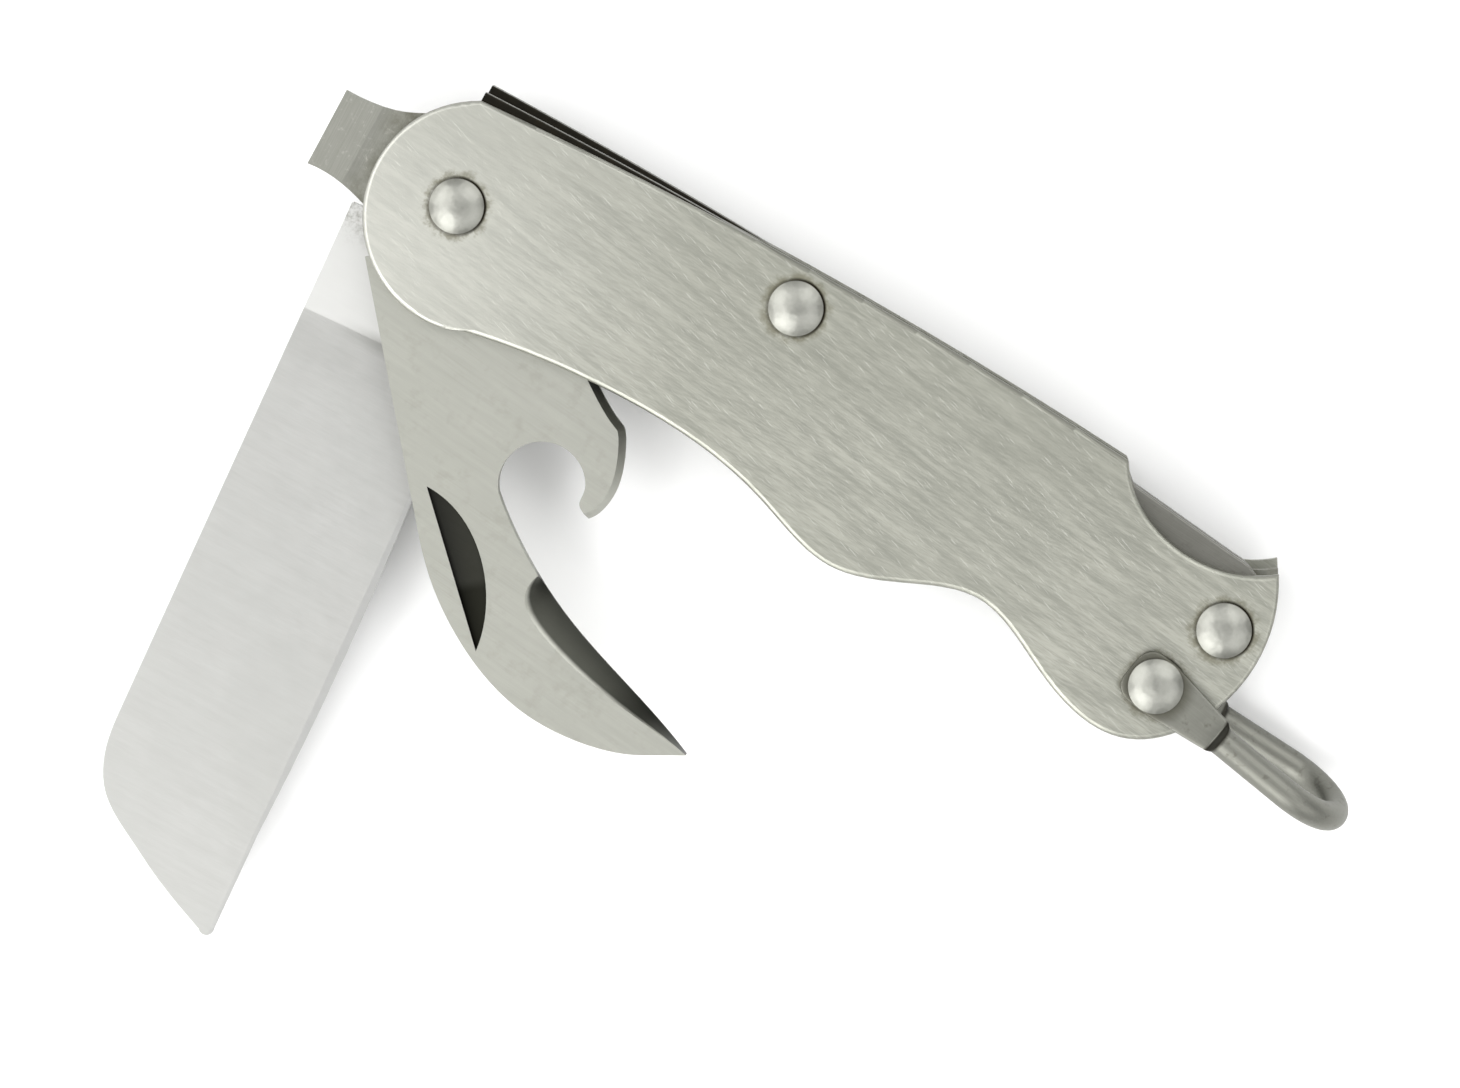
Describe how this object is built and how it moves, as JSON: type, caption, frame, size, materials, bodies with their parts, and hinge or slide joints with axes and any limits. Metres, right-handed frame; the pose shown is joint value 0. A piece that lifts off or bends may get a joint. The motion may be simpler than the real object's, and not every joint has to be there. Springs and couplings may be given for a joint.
{
  "type": "rigging knife",
  "caption": "Folding rigging knife with a sheepsfoot blade, can opener with hook, screwdriver tip, back springs, domed rivets and a wire bail.",
  "frame": {"origin": "centre of the bounding box in X and Y, at the lowest point of the rear side of the bail", "axes": "+X along the handle towards the bail, +Y towards the back springs, +Z out of the front scale"},
  "size_m": [0.1288, 0.0942, 0.0154],
  "materials": {
    "scale_steel": "brushed stainless sheet",
    "plate_steel": "mottled stainless plate",
    "blade_steel": "satin stainless blade",
    "opener_steel": "stainless, brushed across",
    "spring_steel": "oily dark spring steel with polished edges",
    "rivet_steel": "peened satin heads",
    "bail_steel": "tumbled stainless wire"
  },
  "bodies": {
    "handle": {"front_scale": "scale_steel", "rear_scale": "scale_steel", "centre_plate": "plate_steel", "blade_spring_anchor": "spring_steel", "opener_spring_anchor": "spring_steel", "pivot_rivet": "rivet_steel", "middle_rivet": "rivet_steel", "end_rivet": "rivet_steel", "bail_rivet": "rivet_steel", "rear_bail_spacer": "plate_steel", "front_bail_spacer": "plate_steel"},
    "blade": {"main_blade": "blade_steel"},
    "opener": {"can_opener": "opener_steel"},
    "bail": {"bail": "bail_steel"},
    "blade_spring": {"blade_spring_arm": "spring_steel"},
    "opener_spring": {"opener_spring_arm": "spring_steel"}
  },
  "joints": [
    {"name": "blade_hinge", "type": "hinge", "parent": "handle", "child": "blade", "pos_m": [-0.04816, 0.03449, 0.0059], "axis": [0, 0, 1], "range_deg": [-93.6, 79]},
    {"name": "opener_hinge", "type": "hinge", "parent": "handle", "child": "opener", "pos_m": [-0.04816, 0.03449, 0.00965], "axis": [0, 0, 1], "range_deg": [-129.3, 33]},
    {"name": "bail_hinge", "type": "hinge", "parent": "handle", "child": "bail", "pos_m": [0.03959, 0.02574, 0.0077], "axis": [0, 0, 1], "range_deg": [-155, 37]},
    {"name": "blade_spring_flex", "type": "hinge", "parent": "handle", "child": "blade_spring", "pos_m": [-0.01211, 0.04214, 0.0059], "axis": [0, 0, 1], "range_deg": [0, 3], "stiffness_Nm_per_rad": 20},
    {"name": "opener_spring_flex", "type": "hinge", "parent": "handle", "child": "opener_spring", "pos_m": [-0.01211, 0.04214, 0.00965], "axis": [0, 0, 1], "range_deg": [0, 1.8], "stiffness_Nm_per_rad": 20}
  ]
}
